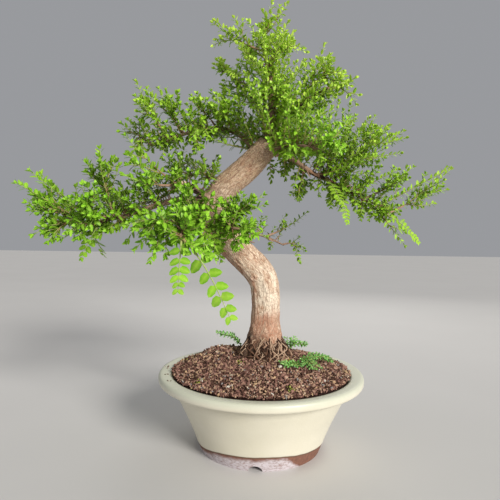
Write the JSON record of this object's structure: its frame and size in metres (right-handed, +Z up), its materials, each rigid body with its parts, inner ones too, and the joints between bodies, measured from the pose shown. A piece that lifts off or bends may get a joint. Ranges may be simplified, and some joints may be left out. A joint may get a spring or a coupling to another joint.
{
  "type": "myrtle bonsai",
  "caption": "Small myrtle tree with a bent trunk and airy leafy sprays, growing in granular soil in a shallow round glazed pot.",
  "frame": {"origin": "on the pot's axis at the table, under the pot's foot", "axes": "+Z up, +X to the right of the tree seen from its front, -Y towards the front of the tree"},
  "size_m": [0.6334, 0.3, 0.633],
  "materials": {
    "glaze": "cream glaze over a bare brown clay foot",
    "screen": "matt black mesh",
    "soil": "dark red-brown mineral grains",
    "bark": "finely flaking tan and pinkish bark",
    "leaves": "soft satin leaves, yellow-green at the tips",
    "seedling_leaves": "small blue-green leaflets"
  },
  "bodies": {
    "root": {"apex_left_spray_31": "leaves", "apex_right_spray_28": "leaves", "apex_right_spray_29": "leaves", "apex_right_spray_30": "leaves", "back_left_spray_52": "leaves", "back_right_spray_42": "leaves", "back_right_spray_53": "leaves", "back_spray_50": "leaves", "back_spray_51": "leaves", "drain_screen": "screen", "front_right_spray_47": "leaves", "front_right_spray_48": "leaves", "front_spray_43": "leaves", "front_spray_44": "leaves", "front_spray_45": "leaves", "front_spray_46": "leaves", "front_spray_49": "leaves", "knee_front_spray_16": "leaves", "knee_front_spray_17": "leaves", "knee_stub_spray_18": "leaves", "knee_stub_spray_19": "leaves", "leader_spray_20": "leaves", "leader_spray_21": "leaves", "leader_spray_22": "leaves", "leader_spray_23": "leaves", "leader_spray_24": "leaves", "leader_spray_25": "leaves", "leader_spray_26": "leaves", "leader_spray_27": "leaves", "left_low_spray_1": "leaves", "left_low_spray_2": "leaves", "left_low_spray_3": "leaves", "left_low_spray_4": "leaves", "left_low_spray_5": "leaves", "left_low_spray_6": "leaves", "left_low_spray_7": "leaves", "left_low_spray_8": "leaves", "left_top_spray_10": "leaves", "left_top_spray_11": "leaves", "left_top_spray_12": "leaves", "left_top_spray_13": "leaves", "left_top_spray_14": "leaves", "left_top_spray_15": "leaves", "left_top_spray_9": "leaves", "pot": "glaze", "right_far_spray_34": "leaves", "right_far_spray_35": "leaves", "right_far_spray_36": "leaves", "right_far_spray_37": "leaves", "right_front_spray_40": "leaves", "right_spray_38": "leaves", "right_spray_39": "leaves", "right_spray_41": "leaves", "right_up_spray_32": "leaves", "right_up_spray_33": "leaves", "seedling_back": "seedling_leaves", "seedling_front": "seedling_leaves", "seedling_left": "seedling_leaves", "soil": "soil", "trunk_and_branches": "bark"}
  },
  "joints": []
}
